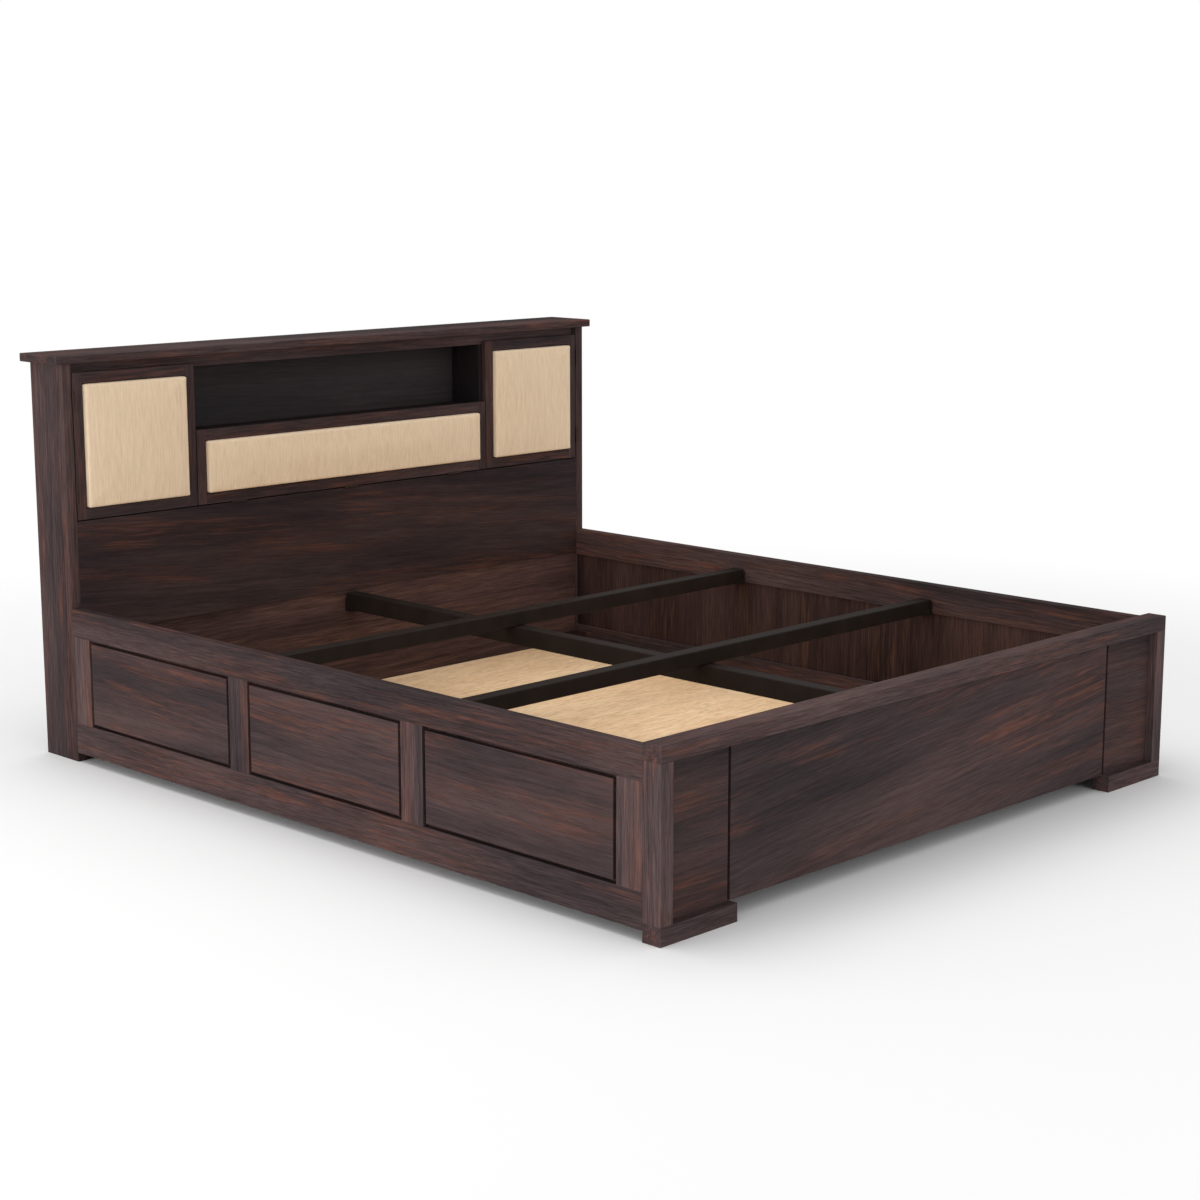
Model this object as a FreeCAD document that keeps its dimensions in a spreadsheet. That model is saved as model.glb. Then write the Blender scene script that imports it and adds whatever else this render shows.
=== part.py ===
import FreeCAD, Part
import math
import os
import re
from collections import defaultdict

import Sketcher
from FreeCAD import Placement, Rotation, Vector

# King-size storage bed: a box base of framed and panelled side rails with a
# recessed footboard, and a headboard with two door cabinets, a drop-front
# compartment and an open niche. Millimetres, +Z up, foot of the bed at -Y,
# origin on the ground under the middle of the bed's outer box.

DIMENSIONS = {
    # Bed as a whole
    "bed_width": 1898,
    "inner_length": 2073,
    "side_thick": 28,
    # Side rails
    "rail_top": 415,
    "rail_clear": 25,
    "top_rail_height": 74.5,
    "top_rail_lip": 6,
    "bottom_rail_height": 82,
    "stile_width": 74.5,
    "stile_thick": 16,
    "panel_groove": 9,
    "mid_panel_length": 550,
    "lining_thick": 6,
    # Footboard
    "foot_depth": 52,
    "foot_rise": 9.5,
    "foot_rail_height": 38,
    "foot_post_width": 38,
    "foot_block_width": 238,
    "foot_block_height": 42,
    "foot_panel_recess": 22,
    "foot_panel_thick": 12,
    "foot_groove": 8,
    # Headboard case
    "head_depth": 148,
    "head_back_thick": 6,
    "cap_thick": 22,
    "cap_side": 23.5,
    "cap_front": 12,
    "cap_back": 12.5,
    "cap_edge": 2.5,
    "frieze_thick": 18,
    "frieze_show": 24,
    "frieze_lap": 9,
    "lower_panel_drop": 73,
    "lower_panel_height": 301,
    "lower_panel_thick": 18,
    "head_end_recess": 6,
    "head_end_thick": 12,
    "head_foot_length": 120,
    "head_foot_depth": 60,
    "partition_thick": 18,
    "shelf_thick": 18,
    "cabinet_floor_thick": 18,
    # Doors and flap
    "door_width": 382,
    "door_height": 387,
    "door_thick": 18,
    "door_gap": 3,
    "door_back_gap": 1,
    "flap_height": 205,
    "flap_lip": 9,
    "frame_face": 29,
    "backing_thick": 6,
    "pad_clear": 1,
    "pad_proud": 14,
    "pad_corner": 4,
    "pad_edge": 4,
    "pad_crown": 40,
    # Hinges, catches and strikes
    "leaf_gap": 0.6,
    "leaf_set": 0.3,
    "leaf_depth": 15,
    "leaf_length": 50,
    "knuckle_radius": 2.6,
    "knuckle_clear": 0.3,
    "knuckle_gap": 0.4,
    "pin_radius": 1.2,
    "pin_clear": 0.08,
    "pin_head": 1,
    "pin_head_margin": 0.9,
    "door_hinge_inset": 45,
    "flap_hinge_inset": 133,
    "leaf_screw_radius": 1.3,
    "leaf_screw_head": 2.4,
    "leaf_screw_grip": 10,
    "leaf_screw_inset": 9,
    "catch_length": 40,
    "catch_depth": 26,
    "catch_thick": 13,
    "catch_gap": 0.3,
    "strike_thick": 1.5,
    "strike_margin": 1,
    "flap_catch_inset": 175.5,
    # Steel beams and their saddles
    "beam_width": 40,
    "beam_drop": 41,
    "cross_beam_height": 40,
    "center_beam_height": 50,
    "tube_wall": 2,
    "tube_corner": 3.5,
    "beam_clear": 0.5,
    "saddle_plate": 3,
    "saddle_depth": 30,
    "saddle_back": 34,
    "saddle_cheek": 14,
    # Storage floor
    "floor_thick": 9,
    "cleat_width": 25,
    "cleat_height": 20,
    "batten_width": 60,
    "floor_foot_size": 60,
    # Corner angles, bolts and screws
    "corner_leg": 50,
    "corner_height": 28,
    "corner_plate": 3,
    "corner_clear": 4,
    "bolt_radius": 4,
    "screw_radius": 2.5,
    "screw_head": 5,
    "screw_grip": 9,
    "hole_clear": 0.2,
    "head_height": 3,
    "head_margin": 2.5,
}

doc = FreeCAD.newDocument("storage_bed")
sheet = doc.addObject("Spreadsheet::Sheet", "dims")
for row, (alias, size) in enumerate(DIMENSIONS.items(), start=1):
    sheet.set(f"A{row}", alias)
    sheet.set(f"B{row}", str(size))
    sheet.setAlias(f"B{row}", alias)
doc.recompute()

# Planes that the pieces share, as expressions on the sheet's sizes
HALF = "(bed_width / 2)"
INSIDE = f"({HALF} - side_thick)"
FOOT_FRONT = "(-(foot_depth + inner_length + head_depth + cap_back) / 2)"
FOOT_BACK = f"({FOOT_FRONT} + foot_depth)"
HEAD_FRONT = f"({FOOT_BACK} + inner_length)"
HEAD_END = f"({HEAD_FRONT} + head_end_recess)"
HEAD_BACK = f"({HEAD_FRONT} + head_depth)"
BACK_FACE = f"({HEAD_BACK} - head_back_thick)"
DOOR_BACK = f"({HEAD_FRONT} + door_thick)"
CASE_FRONT = f"({DOOR_BACK} + door_back_gap)"

BOTTOM_RAIL_TOP = "(rail_clear + bottom_rail_height)"
TOP_RAIL_BASE = "(rail_top - top_rail_height)"
TOP_RAIL_LIP = f"({TOP_RAIL_BASE} - top_rail_lip)"
FOOT_TOP = "(rail_top + foot_rise)"
FOOT_RAIL_BASE = f"({FOOT_TOP} - foot_rail_height)"
LOWER_BASE = "(rail_top - lower_panel_drop)"
LOWER_TOP = f"({LOWER_BASE} + lower_panel_height)"
DOOR_BASE = f"({LOWER_TOP} + door_gap)"
DOOR_TOP = f"({DOOR_BASE} + door_height)"
FLAP_TOP = f"({DOOR_BASE} + flap_height)"
SHELF_TOP = f"({FLAP_TOP} - flap_lip)"
SHELF_BASE = f"({SHELF_TOP} - shelf_thick)"
FRIEZE_BASE = f"({DOOR_TOP} - frieze_lap)"
CAP_BASE = f"({DOOR_TOP} + frieze_show)"
FLOOR_BASE = "(rail_clear + cleat_height)"
FLOOR_TOP = f"({FLOOR_BASE} + floor_thick)"

DOOR_OUT = f"({INSIDE} - door_gap)"
DOOR_IN = f"({DOOR_OUT} - door_width)"
FLAP_HALF = f"({DOOR_IN} - door_gap)"
PARTITION_OUT = f"({DOOR_IN} - door_gap / 2 + partition_thick / 2)"
PARTITION_IN = f"({PARTITION_OUT} - partition_thick)"

SIDES = {"left": -1, "right": 1}
AXIS_TURN = {
    "x": Rotation(Vector(0, 1, 0), 90),
    "y": Rotation(Vector(1, 0, 0), -90),
    "z": Rotation(),
}

pieces = []
holes = defaultdict(list)


def sized(text):
    """Point every size named in an expression at its cell of the sheet."""
    return re.sub(r"[a-z_]+", lambda word: f"dims.{word[0]}" if word[0] in DIMENSIONS else word[0], text)


def value(alias):
    return float(sheet.get(alias))


def keep(shape, label):
    """Enter an object as one of the bed's pieces under its own label."""
    shape.Label = label
    pieces.append(shape)
    return shape


def ordered(start, end, direction):
    """A span from start to end, low end first, where direction says which way it runs."""
    return (start, end) if direction > 0 else (end, start)


def mirrored(side, low, high):
    """A span across the bed, given for the right side, on either side."""
    return ordered(f"{side} * ({low})", f"{side} * ({high})", side)


def about(middle, reach):
    """A span that reaches equally far each way from a middle."""
    return f"{middle} - ({reach})", f"{middle} + ({reach})"


def block(name, **spans):
    """A square-edged block between two planes on each axis."""
    box = doc.addObject("Part::Box", name)
    for axis, size in (("x", "Length"), ("y", "Width"), ("z", "Height")):
        low, high = spans[axis]
        box.setExpression(size, sized(f"({high}) - ({low})"))
        box.setExpression(f"Placement.Base.{axis}", sized(low))
    return box


def placed_round(kind, name, axis, places):
    """A cylinder or cone along one axis: a span on that axis, a point on the others."""
    solid = doc.addObject(kind, name)
    solid.Placement = Placement(Vector(), AXIS_TURN[axis])
    low, high = places[axis]
    solid.setExpression("Height", sized(f"({high}) - ({low})"))
    for place, text in {**places, axis: low}.items():
        solid.setExpression(f"Placement.Base.{place}", sized(text))
    return solid


def rod(name, axis, radius, **places):
    bar = placed_round("Part::Cylinder", name, axis, places)
    bar.setExpression("Radius", sized(radius))
    return bar


def taper(name, axis, low_radius, high_radius, **places):
    cone = placed_round("Part::Cone", name, axis, places)
    cone.setExpression("Radius1", sized(low_radius))
    cone.setExpression("Radius2", sized(high_radius))
    return cone


def joined(name, members):
    fuse = doc.addObject("Part::MultiFuse", name)
    fuse.Shapes = members
    fuse.Refine = True
    return fuse


def group(name, members):
    compound = doc.addObject("Part::Compound", name)
    compound.Links = members
    return compound


def cut(name, base, tools):
    cutting = doc.addObject("Part::Cut", name)
    cutting.Base = base
    cutting.Tool = tools[0] if len(tools) == 1 else group(f"{name}_tools", tools)
    return cutting


def timber(name, x, y, z):
    """A block with the holes and housings that other pieces need in it."""
    if holes[name]:
        return cut(name, block(f"{name}_blank", x=x, y=y, z=z), holes[name])
    return block(name, x=x, y=y, z=z)


def board(label, x, y, z):
    return keep(timber(label, x, y, z), label)


def plane_of(body, role):
    return next(feature for feature in body.Origin.OriginFeatures if feature.Role == role)


def placed_body(label, x, y, z):
    body = doc.addObject("PartDesign::Body", label)
    for axis, text in (("x", x), ("y", y), ("z", z)):
        body.setExpression(f"Placement.Base.{axis}", sized(text))
    return keep(body, label)


def attached_sketch(body, name, role, depth="0"):
    sketch = body.newObject("Sketcher::SketchObject", name)
    sketch.AttachmentSupport = [(plane_of(body, role), "")]
    sketch.MapMode = "FlatFace"
    sketch.setExpression("AttachmentOffset.Base.z", sized(depth))
    return sketch


def rounded_outline(sketch, wide, high, corner):
    """Draw a rounded rectangle about the sketch's origin and tie its sizes.

    Each size is a pair: its present number, and the expression that drives it.
    """
    x, y, r = wide[0] / 2, high[0] / 2, corner[0]
    centers = ((x - r, y - r), (r - x, y - r), (r - x, r - y), (x - r, r - y))
    arcs = []
    for quarter, (center_x, center_y) in enumerate(centers):
        circle = Part.Circle(Vector(center_x, center_y, 0), Vector(0, 0, 1), r)
        start = quarter * math.pi / 2
        arcs.append(sketch.addGeometry(Part.ArcOfCircle(circle, start, start + math.pi / 2)))
    followers = arcs[1:] + arcs[:1]
    lines = []
    for arc, follower in zip(arcs, followers):
        run = Part.LineSegment(sketch.Geometry[arc].EndPoint, sketch.Geometry[follower].StartPoint)
        lines.append(sketch.addGeometry(run))
    for quarter, (arc, line, follower) in enumerate(zip(arcs, lines, followers)):
        sketch.addConstraint(Sketcher.Constraint("Tangent", arc, 2, line, 1))
        sketch.addConstraint(Sketcher.Constraint("Tangent", line, 2, follower, 1))
        sketch.addConstraint(Sketcher.Constraint("Vertical" if quarter % 2 else "Horizontal", line))
    for arc in arcs[1:]:
        sketch.addConstraint(Sketcher.Constraint("Equal", arcs[0], arc))
    sketch.addConstraint(Sketcher.Constraint("Symmetric", arcs[0], 3, arcs[2], 3, -1, 1))
    drives = (
        (Sketcher.Constraint("DistanceX", lines[1], 1, lines[3], 1, wide[0]), wide[1]),
        (Sketcher.Constraint("DistanceY", lines[2], 1, lines[0], 1, high[0]), high[1]),
        (Sketcher.Constraint("Radius", arcs[0], r), corner[1]),
    )
    for constraint, text in drives:
        number = sketch.addConstraint(constraint)
        sketch.setExpression(f"Constraints[{number}]", sized(text))


def fastener(name, axis, toward, seat, radius, plate, **places):
    """A headed bolt through a plate into wood, and the hole it needs.

    toward is +1 or -1 along the axis from head to tip, and seat is the plate's
    outer face, which the head sits on.
    """
    tip = f"{seat} + {toward} * ({plate} + screw_grip)"
    crown = f"{seat} - {toward} * head_height"
    shank_run = {axis: ordered(seat, tip, toward), **places}
    head_run = {axis: ordered(crown, seat, toward), **places}
    shank = rod(f"{name}_shank", axis, radius, **shank_run)
    head = rod(f"{name}_head", axis, f"{radius} + head_margin", **head_run)
    hole = rod(f"{name}_hole", axis, f"{radius} + hole_clear", **shank_run)
    return joined(name, [shank, head]), hole


def sunk_screw(name, axis, toward, face, plate, radius, head, grip, **places):
    """A countersunk screw flush with a plate, with its seat in the plate and its hole in the wood.

    toward is +1 or -1 along the axis from head to tip, and face is the plate's
    outer face.
    """
    seat = f"({face} + {toward} * {plate})"
    tip = f"{seat} + {toward} * {grip}"
    radii = ordered(head, radius, toward)
    wide_radii = [f"{size} + hole_clear" for size in radii]
    head_run = {axis: ordered(face, seat, toward), **places}
    shank_run = {axis: ordered(seat, tip, toward), **places}
    cone = taper(f"{name}_head", axis, *radii, **head_run)
    shank = rod(f"{name}_shank", axis, radius, **shank_run)
    sink = taper(f"{name}_sink", axis, *wide_radii, **head_run)
    hole = rod(f"{name}_hole", axis, f"{radius} + hole_clear", **shank_run)
    return joined(name, [cone, shank]), sink, hole


# Steel beams: two square tubes across the bed at its thirds, carried in
# saddles on the side rails, and a deeper tube along the middle under both.

BEAM_BASE = "(rail_top - beam_drop - cross_beam_height)"
CENTER_BEAM_BASE = f"({BEAM_BASE} - center_beam_height)"
BEAM_END_GAP = "(saddle_plate + beam_clear)"
CROSS_BEAM_PLACES = {
    "foot": f"({FOOT_BACK} + inner_length / 3)",
    "head": f"({HEAD_FRONT} - inner_length / 3)",
}

saddles = []
saddle_screws = []


def tube(label, role, length, height, x, y, z):
    """A rounded square tube drawn about its own axis and drawn out along it."""
    body = placed_body(label, x, y, z)
    profile = attached_sketch(body, f"{label}_profile", role)
    wall, corner = value("tube_wall"), value("tube_corner")
    wide, high = value("beam_width"), value(height)
    rounded_outline(profile, (wide, "beam_width"), (high, height), (corner, "tube_corner"))
    rounded_outline(
        profile,
        (wide - 2 * wall, "beam_width - 2 * tube_wall"),
        (high - 2 * wall, f"{height} - 2 * tube_wall"),
        (corner - wall, "tube_corner - tube_wall"))
    doc.recompute()
    pad = body.newObject("PartDesign::Pad", f"{label}_run")
    pad.Profile = profile
    pad.setExpression("Length", sized(length))
    return body


def saddle(name, run, wall, inward, middle, base):
    """A welded steel cradle on a wall for a beam's end, which hides its back plate and two screws.

    run is the beam's axis, wall the face it hangs on and inward the way out
    of that face. The wall's holes are returned.
    """
    across = "y" if run == "x" else "x"
    plate_face = f"({wall} + {inward} * saddle_plate)"
    cheek_reach = "(beam_width / 2 + beam_clear)"
    tray_reach = f"({cheek_reach} + saddle_plate)"
    back_run = ordered(wall, plate_face, inward)
    tray_run = ordered(plate_face, f"{wall} + {inward} * saddle_depth", inward)
    tray_base = f"{base} - saddle_plate"
    members = [
        block(f"{name}_back", **{run: back_run, across: about(middle, tray_reach)},
              z=(tray_base, f"{base} + saddle_back")),
        block(f"{name}_tray", **{run: tray_run, across: about(middle, tray_reach)}, z=(tray_base, base)),
    ]
    sinks = []
    wall_holes = []
    for hand in (-1, 1):
        cheek = ordered(f"{middle} + {hand} * {cheek_reach}", f"{middle} + {hand} * {tray_reach}", hand)
        members.append(block(f"{name}_cheek_{hand + 1}", **{run: tray_run, across: cheek},
                             z=(tray_base, f"{base} + saddle_cheek")))
        screw_place = {across: f"{middle} + {hand} * {tray_reach} / 2", "z": f"{base} + saddle_back / 2"}
        screw, sink, hole = sunk_screw(
            f"{name}_screw_{hand + 1}", run, -inward, plate_face, "saddle_plate", "screw_radius",
            "screw_head", "screw_grip", **screw_place)
        saddle_screws.append(screw)
        sinks.append(sink)
        wall_holes.append(hole)
    saddles.append(cut(name, joined(f"{name}_welded", members), sinks))
    return wall_holes


for end, place in CROSS_BEAM_PLACES.items():
    tube(f"cross_beam_{end}", "YZ_Plane", f"2 * ({INSIDE} - {BEAM_END_GAP})", "cross_beam_height",
         f"{BEAM_END_GAP} - {INSIDE}", place, f"{BEAM_BASE} + cross_beam_height / 2")
    for side_name, side in SIDES.items():
        holes[f"{side_name}_rail_top"] += saddle(
            f"saddle_{end}_{side_name}", "x", f"({side} * {INSIDE})", -side, place, BEAM_BASE)

tube("center_beam", "XZ_Plane", f"{HEAD_END} - {FOOT_BACK} - 2 * {BEAM_END_GAP}", "center_beam_height",
     "0", f"{HEAD_END} - {BEAM_END_GAP}", f"{CENTER_BEAM_BASE} + center_beam_height / 2")
holes["footboard_back_board"] += saddle("saddle_footboard", "y", FOOT_BACK, 1, "0", CENTER_BEAM_BASE)
holes["storage_head_end"] += saddle("saddle_headboard", "y", HEAD_END, -1, "0", CENTER_BEAM_BASE)

keep(group("saddle_set", saddles), "beam_saddles")
keep(group("saddle_screw_set", saddle_screws), "saddle_screws")

# Corner angles: a steel angle in each lower corner of the box, bolted to the
# bottom rail and to the board across the end.

CORNER_BASE = f"({FLOOR_TOP} + corner_clear)"
BOLT_OFFSET = "((corner_leg + corner_plate) / 2)"
BOX_ENDS = {
    "footboard_back_board": (FOOT_BACK, 1),
    "storage_head_end": (HEAD_END, -1),
}

angles = []
corner_bolts = []
for end_board, (seat, inward) in BOX_ENDS.items():
    for side_name, side in SIDES.items():
        name = f"{end_board}_angle_{side_name}"
        rail_face = f"{side} * ({INSIDE} - corner_plate)"
        end_face = f"({seat} + {inward} * corner_plate)"
        angle_z = (CORNER_BASE, f"{CORNER_BASE} + corner_height")
        bolt_z = f"{CORNER_BASE} + corner_height / 2"
        rail_leg = block(f"{name}_rail_leg", x=mirrored(side, f"{INSIDE} - corner_plate", INSIDE),
                         y=ordered(seat, f"{seat} + {inward} * corner_leg", inward), z=angle_z)
        end_leg = block(f"{name}_end_leg", x=mirrored(side, f"{INSIDE} - corner_leg", INSIDE),
                        y=ordered(seat, end_face, inward), z=angle_z)
        rail_bolt, rail_hole = fastener(
            f"{name}_rail_bolt", "x", side, rail_face, "bolt_radius", "corner_plate",
            y=f"{seat} + {inward} * {BOLT_OFFSET}", z=bolt_z)
        end_bolt, end_hole = fastener(
            f"{name}_end_bolt", "y", -inward, end_face, "bolt_radius", "corner_plate",
            x=f"{side} * ({INSIDE} - {BOLT_OFFSET})", z=bolt_z)
        angles.append(cut(name, joined(f"{name}_bent", [rail_leg, end_leg]), [rail_hole, end_hole]))
        corner_bolts += [rail_bolt, end_bolt]
        holes[f"{side_name}_rail_bottom"].append(rail_hole)
        holes[end_board].append(end_hole)
keep(group("angle_set", angles), "corner_angles")
keep(group("corner_bolt_set", corner_bolts), "corner_bolts")

# Butt hinges: two thin leaves in the gap round a door or flap, screwed to the
# case and to the moving frame, with a slim barrel just in front of the gap.

LEAF_THICK = "((door_gap - leaf_gap) / 2)"
PIN_Y = f"({HEAD_FRONT} - knuckle_radius - knuckle_clear)"
LEAF_FRONT = f"({HEAD_FRONT} + leaf_set)"
LEAF_BACK = f"({HEAD_FRONT} + leaf_depth)"
KNUCKLE_LENGTH = "((leaf_length - 2 * knuckle_gap) / 3)"

hinge_pins = []
hinge_leaves = defaultdict(list)


def hinge(name, along, across, start, case_face, toward, case_board, frame_board, moving):
    """A butt hinge between a case board and a moving frame's board.

    along is the pin's axis, across the axis over the gap. toward is the way
    across the gap from the case's face to the moving frame. The pin's head
    rests on the last knuckle of the case's leaf.
    """
    stop = f"({start} + leaf_length)"
    frame_face = f"({case_face} + {toward} * door_gap)"
    pin_place = f"({case_face} + {toward} * door_gap / 2)"
    step = f"({KNUCKLE_LENGTH} + knuckle_gap)"
    thirds = [(f"{start} + {number} * {step}", f"{start} + {number} * {step} + {KNUCKLE_LENGTH}")
              for number in range(3)]
    bore = rod(f"{name}_bore", along, "pin_radius + pin_clear",
               **{along: (start, stop), across: pin_place}, y=PIN_Y)
    pin_shank = rod(f"{name}_pin_shank", along, "pin_radius",
                    **{along: (start, stop), across: pin_place}, y=PIN_Y)
    pin_head = rod(f"{name}_pin_head", along, "pin_radius + pin_head_margin",
                   **{along: (stop, f"{stop} + pin_head"), across: pin_place}, y=PIN_Y)
    hinge_pins.append(joined(f"{name}_pin", [pin_shank, pin_head]))
    leaves = (
        ("case", case_face, toward, (thirds[0], thirds[2]), case_board, "case"),
        ("frame", frame_face, -toward, (thirds[1],), frame_board, moving),
    )
    for part, face, into_gap, knuckles, host, body in leaves:
        gap_face = f"({face} + {into_gap} * {LEAF_THICK})"
        plate_span = ordered(face, gap_face, into_gap)
        members = [block(f"{name}_{part}_plate", **{along: (start, stop), across: plate_span},
                         y=(LEAF_FRONT, LEAF_BACK))]
        for number, knuckle in enumerate(knuckles):
            members.append(rod(f"{name}_{part}_knuckle_{number}", along, "knuckle_radius",
                               **{along: knuckle, across: pin_place}, y=PIN_Y))
            members.append(block(f"{name}_{part}_neck_{number}", **{along: knuckle, across: plate_span},
                                 y=(PIN_Y, LEAF_FRONT)))
        cuts = [bore]
        screws = []
        for number, place in enumerate((f"{start} + leaf_screw_inset", f"{stop} - leaf_screw_inset")):
            screw, sink, hole = sunk_screw(
                f"{name}_{part}_screw_{number}", across, -into_gap, gap_face, LEAF_THICK, "leaf_screw_radius",
                "leaf_screw_head", "leaf_screw_grip", **{along: place}, y=f"({LEAF_FRONT} + {LEAF_BACK}) / 2")
            screws.append(screw)
            cuts.append(sink)
            holes[host].append(hole)
        leaf = cut(f"{name}_{part}_leaf", joined(f"{name}_{part}_rolled", members), cuts)
        hinge_leaves[body] += [leaf, *screws]


for side_name, side in SIDES.items():
    door = f"{side_name}_door"
    hinge_starts = {
        "low": f"({DOOR_BASE} + door_hinge_inset)",
        "high": f"({DOOR_TOP} - door_hinge_inset - leaf_length)",
    }
    for level, start in hinge_starts.items():
        hinge(f"{door}_hinge_{level}", "z", "x", start, f"({side} * {INSIDE})", -side,
              f"headboard_side_{side_name}", f"{door}_stile_outer", door)
for number in (-1, 0, 1):
    middle = f"{number} * ({FLAP_HALF} - flap_hinge_inset)"
    hinge(f"flap_hinge_{number + 1}", "x", "z", f"({middle} - leaf_length / 2)", LOWER_TOP, 1,
          "headboard_lower_panel", "center_flap_rail_low", "center_flap")

keep(group("case_leaf_set", hinge_leaves["case"]), "case_hinge_leaves")
keep(group("hinge_pin_set", hinge_pins), "hinge_pins")

# Magnetic catches on the partitions and under the niche shelf, each facing a
# thin steel strike on the back of its door or flap.

CATCH_FRONT = f"({DOOR_BACK} + strike_thick + catch_gap)"
CATCH_Y = (CATCH_FRONT, f"{CATCH_FRONT} + catch_depth")
STRIKE_Y = (DOOR_BACK, f"{DOOR_BACK} + strike_thick")

catches = []
strikes = defaultdict(list)


def catch_pair(name, body, x_middle, x_reach, z_middle, z_reach):
    catches.append(block(f"{name}_catch", x=about(x_middle, x_reach), y=CATCH_Y, z=about(z_middle, z_reach)))
    strikes[body].append(block(
        f"{name}_strike_plate", x=about(x_middle, f"{x_reach} - strike_margin"), y=STRIKE_Y,
        z=about(z_middle, f"{z_reach} - strike_margin")))


for side_name, side in SIDES.items():
    catch_pair(f"{side_name}_door", f"{side_name}_door", f"({side} * ({PARTITION_OUT} + catch_thick / 2))",
               "catch_thick / 2", f"(({DOOR_BASE} + {DOOR_TOP}) / 2)", "catch_length / 2")
    catch_pair(f"flap_{side_name}", "center_flap", f"({side} * ({PARTITION_IN} - flap_catch_inset))",
               "catch_length / 2", f"({SHELF_BASE} - catch_thick / 2)", "catch_thick / 2")
keep(group("catch_set", catches), "magnetic_catches")

# Side rails: solid top and bottom rails joined by four stiles, with three
# panels and a thin lining behind them. The panels stand clear of the frame by
# a groove all round, and the lining holds them. The top rail is rebated along
# its lower outer edge for the stiles, so that its inner face reaches lower.

END_PANEL = "((inner_length - mid_panel_length - 4 * stile_width - 6 * panel_groove) / 2)"
BAY = f"(stile_width + 2 * panel_groove + {END_PANEL})"
STILE_STARTS = (
    FOOT_BACK,
    f"({FOOT_BACK} + {BAY})",
    f"({HEAD_FRONT} - {BAY} - stile_width)",
    f"({HEAD_FRONT} - stile_width)",
)
RAIL_RUN = (FOOT_BACK, HEAD_FRONT)

for side_name, side in SIDES.items():
    rail = f"{side_name}_rail"
    rail_x = mirrored(side, INSIDE, HALF)
    stile_x = mirrored(side, f"{HALF} - stile_thick", HALF)
    lining_x = mirrored(side, f"{HALF} - stile_thick - lining_thick", f"{HALF} - stile_thick")

    holes[f"{rail}_top"].append(block(f"{rail}_rebate", x=stile_x, y=RAIL_RUN,
                                      z=(TOP_RAIL_LIP, TOP_RAIL_BASE)))
    board(f"{rail}_top", rail_x, RAIL_RUN, (TOP_RAIL_LIP, "rail_top"))
    board(f"{rail}_bottom", rail_x, RAIL_RUN, ("rail_clear", BOTTOM_RAIL_TOP))

    stiles = []
    for number, start in enumerate(STILE_STARTS, start=1):
        stiles.append(block(f"{rail}_stile_{number}", x=stile_x, y=(start, f"{start} + stile_width"),
                            z=(BOTTOM_RAIL_TOP, TOP_RAIL_BASE)))
    keep(group(f"{rail}_stile_set", stiles), f"{rail}_stiles")

    panels = []
    for number, (start, after) in enumerate(zip(STILE_STARTS, STILE_STARTS[1:]), start=1):
        panels.append(block(f"{rail}_panel_{number}", x=stile_x,
                            y=(f"{start} + stile_width + panel_groove", f"{after} - panel_groove"),
                            z=(f"{BOTTOM_RAIL_TOP} + panel_groove", f"{TOP_RAIL_BASE} - panel_groove")))
    keep(group(f"{rail}_panel_set", panels), f"{rail}_panels")

    board(f"{rail}_lining", lining_x, RAIL_RUN, (BOTTOM_RAIL_TOP, TOP_RAIL_LIP))

# Footboard: two posts on foot blocks under a full-width top rail, with a
# centre panel and two side panels set back between them on a backing board.

FOOT_FRAME_Y = (FOOT_FRONT, FOOT_BACK)
FOOT_PANEL_BACK = f"({FOOT_FRONT} + foot_panel_recess + foot_panel_thick)"
FOOT_PANEL_Y = (f"{FOOT_FRONT} + foot_panel_recess", FOOT_PANEL_BACK)
FOOT_PANEL_Z = ("foot_block_height", FOOT_RAIL_BASE)
POST_IN = f"({HALF} - foot_post_width)"
FOOT_IN = f"({HALF} - foot_block_width)"

board("footboard_top_rail", about("0", HALF), FOOT_FRAME_Y, (FOOT_RAIL_BASE, FOOT_TOP))
board("footboard_center_panel", about("0", FOOT_IN), FOOT_PANEL_Y, FOOT_PANEL_Z)
board("footboard_back_board", about("0", POST_IN), (FOOT_PANEL_BACK, FOOT_BACK), FOOT_PANEL_Z)
posts = []
side_panels = []
for side_name, side in SIDES.items():
    board(f"footboard_foot_{side_name}", mirrored(side, FOOT_IN, HALF), FOOT_FRAME_Y,
          ("0", "foot_block_height"))
    posts.append(block(f"footboard_post_{side_name}", x=mirrored(side, POST_IN, HALF), y=FOOT_FRAME_Y,
                       z=FOOT_PANEL_Z))
    side_panels.append(block(f"footboard_side_panel_{side_name}", y=FOOT_PANEL_Y, z=FOOT_PANEL_Z,
                             x=mirrored(side, f"{FOOT_IN} + foot_groove", POST_IN)))
keep(group("footboard_post_set", posts), "footboard_posts")
keep(group("footboard_side_panel_set", side_panels), "footboard_side_panels")

# Storage floor: two sheets that meet under the centre beam, on cleats along
# the rails and cross battens, with feet under the battens and the head end.

CLEAT_IN = f"({INSIDE} - cleat_width)"
CLEAT_Z = ("rail_clear", FLOOR_BASE)
FOOT_Z = ("0", "rail_clear")

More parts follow.
